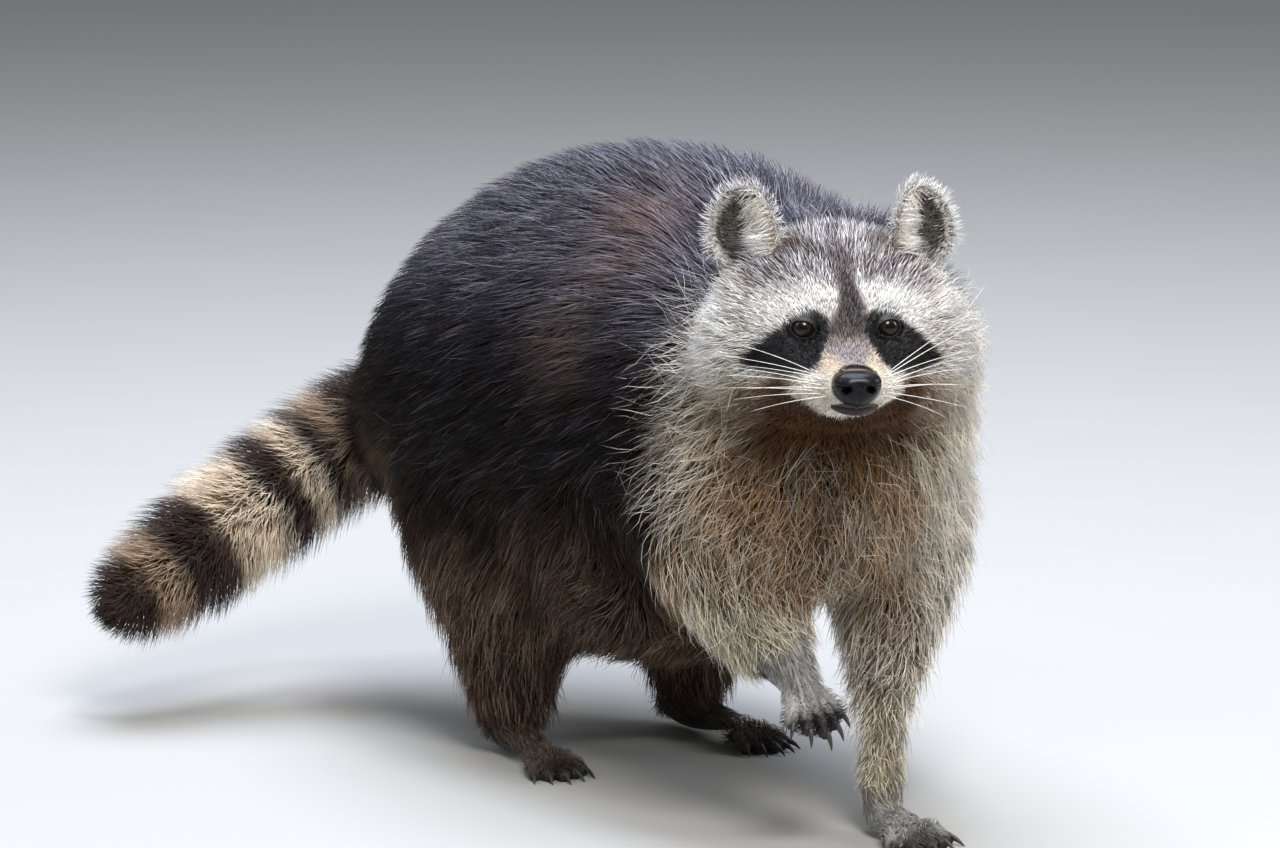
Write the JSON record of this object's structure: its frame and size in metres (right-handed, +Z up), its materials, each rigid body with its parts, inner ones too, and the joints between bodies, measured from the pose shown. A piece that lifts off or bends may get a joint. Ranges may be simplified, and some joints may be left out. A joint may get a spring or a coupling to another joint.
{
  "type": "raccoon",
  "caption": "Life-size still raccoon standing in mid-step, head turned to its right, ringed tail swept to the same side.",
  "frame": {"origin": "middle of the footprint of the whole animal, on the floor its paws stand on", "axes": "+Z up, -Y the way the body faces, +X the animal's left side"},
  "size_m": [0.3438, 0.6068, 0.3506],
  "materials": {
    "coat_dark": "long dark grizzled guard hair with blue-grey sheen over brown underfur",
    "coat_tan": "long grizzled cream and tan hair over ochre underfur",
    "coat_face": "short dense hair: white brow and cheeks, black mask, grey crown",
    "coat_tail": "bushy hair in dark and cream rings with a dark tip",
    "paw_skin": "black bare skin and claws under short grey-white hair",
    "nose_skin": "black moist pebbled skin, glossy",
    "eye_gloss": "very dark brown, wet gloss"
  },
  "bodies": {
    "root": {"trunk": "coat_dark", "neck": "coat_dark", "hindleg_left": "coat_dark", "hindleg_right": "coat_dark", "foreleg_left": "coat_tan", "foreleg_right": "coat_tan", "head": "coat_face", "ear_left": "coat_face", "ear_right": "coat_face", "tail_base": "coat_tail", "tail_middle": "coat_tail", "tail_tip": "coat_tail", "forepaw_left": "paw_skin", "forepaw_right": "paw_skin", "hindpaw_left": "paw_skin", "hindpaw_right": "paw_skin", "nose": "nose_skin", "eye_left": "eye_gloss", "eye_right": "eye_gloss"}
  },
  "joints": []
}
